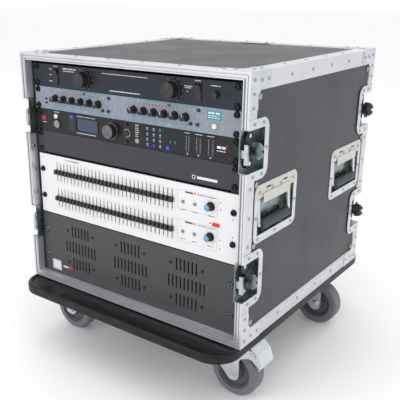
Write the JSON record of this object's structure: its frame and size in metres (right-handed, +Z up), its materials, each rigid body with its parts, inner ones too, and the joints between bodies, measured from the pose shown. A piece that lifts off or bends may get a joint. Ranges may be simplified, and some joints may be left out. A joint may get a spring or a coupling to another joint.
{
  "type": "wheeled rack case with audio units",
  "caption": "Wheeled flight-case rack for 19-inch gear, fitted with audio rack units, recessed butterfly latches, spring handles and braked swivel casters.",
  "frame": {"origin": "on the floor, under the middle of the case's box", "axes": "+Z up, front panels face -Y, +X to the right seen from the front"},
  "size_m": [0.558, 0.614, 0.6255],
  "materials": {
    "black_laminate": "satin, fine pebble texture",
    "board_black": "satin",
    "edge_aluminium": "satin anodised",
    "bright_zinc": "bright zinc plate",
    "rivet_steel": "satin",
    "copper_bolt": "dull",
    "rail_steel": "satin",
    "latch_black": "satin",
    "screw_black": "satin",
    "dimmer_blue_grey": "satin",
    "compressor_grey": "fine speckle",
    "processor_black": "satin",
    "blank_charcoal": "fine texture",
    "equaliser_white": "satin",
    "vent_charcoal": "fine texture",
    "chassis_black": "satin",
    "screen_glass": "gloss",
    "control_plastic": "matte",
    "fan_plastic": "matte",
    "grip_rubber": "matte",
    "wheel_rubber": "matte"
  },
  "bodies": {
    "case": {"side_panel_left": "black_laminate", "side_panel_right": "black_laminate", "top_panel": "black_laminate", "bottom_panel": "black_laminate", "caster_board": "board_black", "front_extrusion": "edge_aluminium", "rear_extrusion": "edge_aluminium", "edge_angles": "edge_aluminium", "corner_braces": "bright_zinc", "case_rivets": "rivet_steel", "rack_rails": "rail_steel", "rail_bolts": "copper_bolt", "latch_dishes": "bright_zinc", "latch_bases": "latch_black", "handle_dishes": "bright_zinc", "caster_plates": "bright_zinc", "caster_bolts": "bright_zinc", "rack_screws": "screw_black", "dimmer_panel": "dimmer_blue_grey", "compressor_panel": "compressor_grey", "processor_panel": "processor_black", "blank_panel": "blank_charcoal", "equaliser_panel": "equaliser_white", "vent_panel": "vent_charcoal", "unit_chassis": "chassis_black", "cooling_fans": "fan_plastic", "processor_screen": "screen_glass", "panel_controls": "control_plastic"},
    "latch_butterfly_front_left_lower": {"latch_butterfly_front_left_lower": "bright_zinc"},
    "latch_butterfly_front_left_upper": {"latch_butterfly_front_left_upper": "bright_zinc"},
    "latch_butterfly_rear_left_lower": {"latch_butterfly_rear_left_lower": "bright_zinc"},
    "latch_butterfly_rear_left_upper": {"latch_butterfly_rear_left_upper": "bright_zinc"},
    "latch_butterfly_front_right_lower": {"latch_butterfly_front_right_lower": "bright_zinc"},
    "latch_butterfly_front_right_upper": {"latch_butterfly_front_right_upper": "bright_zinc"},
    "latch_butterfly_rear_right_lower": {"latch_butterfly_rear_right_lower": "bright_zinc"},
    "latch_butterfly_rear_right_upper": {"latch_butterfly_rear_right_upper": "bright_zinc"},
    "handle_front_left": {"handle_front_left": "grip_rubber"},
    "handle_rear_left": {"handle_rear_left": "grip_rubber"},
    "handle_front_right": {"handle_front_right": "grip_rubber"},
    "handle_rear_right": {"handle_rear_right": "grip_rubber"},
    "caster_fork_front_left": {"caster_fork_front_left": "bright_zinc"},
    "caster_wheel_front_left": {"caster_wheel_front_left": "wheel_rubber"},
    "caster_fork_front_right": {"caster_fork_front_right": "bright_zinc"},
    "caster_wheel_front_right": {"caster_wheel_front_right": "wheel_rubber"},
    "brake_pedal_front_right": {"brake_pedal_front_right": "bright_zinc"},
    "caster_fork_rear_left": {"caster_fork_rear_left": "bright_zinc"},
    "caster_wheel_rear_left": {"caster_wheel_rear_left": "wheel_rubber"},
    "brake_pedal_rear_left": {"brake_pedal_rear_left": "bright_zinc"},
    "caster_fork_rear_right": {"caster_fork_rear_right": "bright_zinc"},
    "caster_wheel_rear_right": {"caster_wheel_rear_right": "wheel_rubber"},
    "dimmer_knob_left": {"dimmer_knob_left": "control_plastic"},
    "dimmer_knob_right": {"dimmer_knob_right": "control_plastic"},
    "rocker_left": {"rocker_left": "control_plastic"},
    "rocker_right": {"rocker_right": "control_plastic"},
    "breaker_button": {"breaker_button": "control_plastic"},
    "encoder_knob": {"encoder_knob": "control_plastic"},
    "level_knob_lower": {"level_knob_lower": "control_plastic"},
    "level_knob_upper": {"level_knob_upper": "control_plastic"},
    "fader_bank_lower": {"fader_bank_lower": "control_plastic"},
    "fader_bank_upper": {"fader_bank_upper": "control_plastic"}
  },
  "joints": [
    {"name": "turn_latch_butterfly_front_left_lower", "type": "hinge", "parent": "case", "child": "latch_butterfly_front_left_lower", "pos_m": [-0.2532, -0.2345, 0.27], "axis": [-1, 0, 0], "range_deg": [0, 180]},
    {"name": "turn_latch_butterfly_front_left_upper", "type": "hinge", "parent": "case", "child": "latch_butterfly_front_left_upper", "pos_m": [-0.2532, -0.2345, 0.498], "axis": [-1, 0, 0], "range_deg": [0, 180]},
    {"name": "turn_latch_butterfly_rear_left_lower", "type": "hinge", "parent": "case", "child": "latch_butterfly_rear_left_lower", "pos_m": [-0.2532, 0.2345, 0.27], "axis": [-1, 0, 0], "range_deg": [0, 180]},
    {"name": "turn_latch_butterfly_rear_left_upper", "type": "hinge", "parent": "case", "child": "latch_butterfly_rear_left_upper", "pos_m": [-0.2532, 0.2345, 0.498], "axis": [-1, 0, 0], "range_deg": [0, 180]},
    {"name": "turn_latch_butterfly_front_right_lower", "type": "hinge", "parent": "case", "child": "latch_butterfly_front_right_lower", "pos_m": [0.2532, -0.2345, 0.27], "axis": [1, 0, 0], "range_deg": [0, 180]},
    {"name": "turn_latch_butterfly_front_right_upper", "type": "hinge", "parent": "case", "child": "latch_butterfly_front_right_upper", "pos_m": [0.2532, -0.2345, 0.498], "axis": [1, 0, 0], "range_deg": [0, 180]},
    {"name": "turn_latch_butterfly_rear_right_lower", "type": "hinge", "parent": "case", "child": "latch_butterfly_rear_right_lower", "pos_m": [0.2532, 0.2345, 0.27], "axis": [1, 0, 0], "range_deg": [0, 180]},
    {"name": "turn_latch_butterfly_rear_right_upper", "type": "hinge", "parent": "case", "child": "latch_butterfly_rear_right_upper", "pos_m": [0.2532, 0.2345, 0.498], "axis": [1, 0, 0], "range_deg": [0, 180]},
    {"name": "lift_handle_front_left", "type": "hinge", "parent": "case", "child": "handle_front_left", "pos_m": [-0.2565, -0.151, 0.4055], "axis": [0, 1, 0], "range_deg": [0, 86], "stiffness_Nm_per_rad": 0.25, "springref_deg": -14.32},
    {"name": "lift_handle_rear_left", "type": "hinge", "parent": "case", "child": "handle_rear_left", "pos_m": [-0.2565, 0.151, 0.4055], "axis": [0, 1, 0], "range_deg": [0, 86], "stiffness_Nm_per_rad": 0.25, "springref_deg": -14.32},
    {"name": "lift_handle_front_right", "type": "hinge", "parent": "case", "child": "handle_front_right", "pos_m": [0.2565, -0.151, 0.4055], "axis": [0, -1, 0], "range_deg": [0, 86], "stiffness_Nm_per_rad": 0.25, "springref_deg": -14.32},
    {"name": "lift_handle_rear_right", "type": "hinge", "parent": "case", "child": "handle_rear_right", "pos_m": [0.2565, 0.151, 0.4055], "axis": [0, -1, 0], "range_deg": [0, 86], "stiffness_Nm_per_rad": 0.25, "springref_deg": -14.32},
    {"name": "swivel_front_left", "type": "hinge", "parent": "case", "child": "caster_fork_front_left", "pos_m": [-0.184, -0.179, 0.113], "axis": [0, 0, 1], "continuous": true},
    {"name": "roll_front_left", "type": "hinge", "parent": "caster_fork_front_left", "child": "caster_wheel_front_left", "pos_m": [-0.216, -0.179, 0.05], "axis": [0, 1, 0], "continuous": true},
    {"name": "swivel_front_right", "type": "hinge", "parent": "case", "child": "caster_fork_front_right", "pos_m": [0.184, -0.179, 0.113], "axis": [0, 0, 1], "continuous": true},
    {"name": "roll_front_right", "type": "hinge", "parent": "caster_fork_front_right", "child": "caster_wheel_front_right", "pos_m": [0.216, -0.179, 0.05], "axis": [0, 1, 0], "continuous": true},
    {"name": "press_brake_pedal_front_right", "type": "hinge", "parent": "caster_fork_front_right", "child": "brake_pedal_front_right", "pos_m": [0.254, -0.179, 0.1027], "axis": [0, 1, 0], "range_deg": [0, 15]},
    {"name": "swivel_rear_left", "type": "hinge", "parent": "case", "child": "caster_fork_rear_left", "pos_m": [-0.184, 0.179, 0.113], "axis": [0, 0, 1], "continuous": true},
    {"name": "roll_rear_left", "type": "hinge", "parent": "caster_fork_rear_left", "child": "caster_wheel_rear_left", "pos_m": [-0.216, 0.179, 0.05], "axis": [0, 1, 0], "continuous": true},
    {"name": "press_brake_pedal_rear_left", "type": "hinge", "parent": "caster_fork_rear_left", "child": "brake_pedal_rear_left", "pos_m": [-0.254, 0.179, 0.1027], "axis": [0, -1, 0], "range_deg": [0, 15]},
    {"name": "swivel_rear_right", "type": "hinge", "parent": "case", "child": "caster_fork_rear_right", "pos_m": [0.184, 0.179, 0.113], "axis": [0, 0, 1], "continuous": true},
    {"name": "roll_rear_right", "type": "hinge", "parent": "caster_fork_rear_right", "child": "caster_wheel_rear_right", "pos_m": [0.216, 0.179, 0.05], "axis": [0, 1, 0], "continuous": true},
    {"name": "turn_dimmer_knob_left", "type": "hinge", "parent": "case", "child": "dimmer_knob_left", "pos_m": [-0.1035, -0.242, 0.58178], "axis": [0, 1, 0], "range_deg": [-150, 150]},
    {"name": "turn_dimmer_knob_right", "type": "hinge", "parent": "case", "child": "dimmer_knob_right", "pos_m": [0.1045, -0.242, 0.58178], "axis": [0, 1, 0], "range_deg": [-150, 150]},
    {"name": "rock_left", "type": "hinge", "parent": "case", "child": "rocker_left", "pos_m": [-0.18, -0.24, 0.58178], "axis": [-1, 0, 0], "range_deg": [0, 14]},
    {"name": "rock_right", "type": "hinge", "parent": "case", "child": "rocker_right", "pos_m": [0.1565, -0.24, 0.58178], "axis": [-1, 0, 0], "range_deg": [0, 14]},
    {"name": "push_breaker_button", "type": "slide", "parent": "case", "child": "breaker_button", "axis": [0, 1, 0], "range_m": [0, 0.003], "stiffness_N_per_m": 200, "springref_m": -0.002},
    {"name": "turn_encoder_knob", "type": "hinge", "parent": "case", "child": "encoder_knob", "pos_m": [-0.036, -0.242, 0.49288], "axis": [0, 1, 0], "continuous": true},
    {"name": "turn_level_knob_lower", "type": "hinge", "parent": "case", "child": "level_knob_lower", "pos_m": [0.1865, -0.242, 0.3347], "axis": [0, 1, 0], "range_deg": [-150, 150]},
    {"name": "turn_level_knob_upper", "type": "hinge", "parent": "case", "child": "level_knob_upper", "pos_m": [0.1865, -0.242, 0.3905], "axis": [0, 1, 0], "range_deg": [-150, 150]},
    {"name": "slide_fader_bank_lower", "type": "slide", "parent": "case", "child": "fader_bank_lower", "axis": [0, 0, 1], "range_m": [-0.0165, 0.0165]},
    {"name": "slide_fader_bank_upper", "type": "slide", "parent": "case", "child": "fader_bank_upper", "axis": [0, 0, 1], "range_m": [-0.0165, 0.0165]}
  ]
}
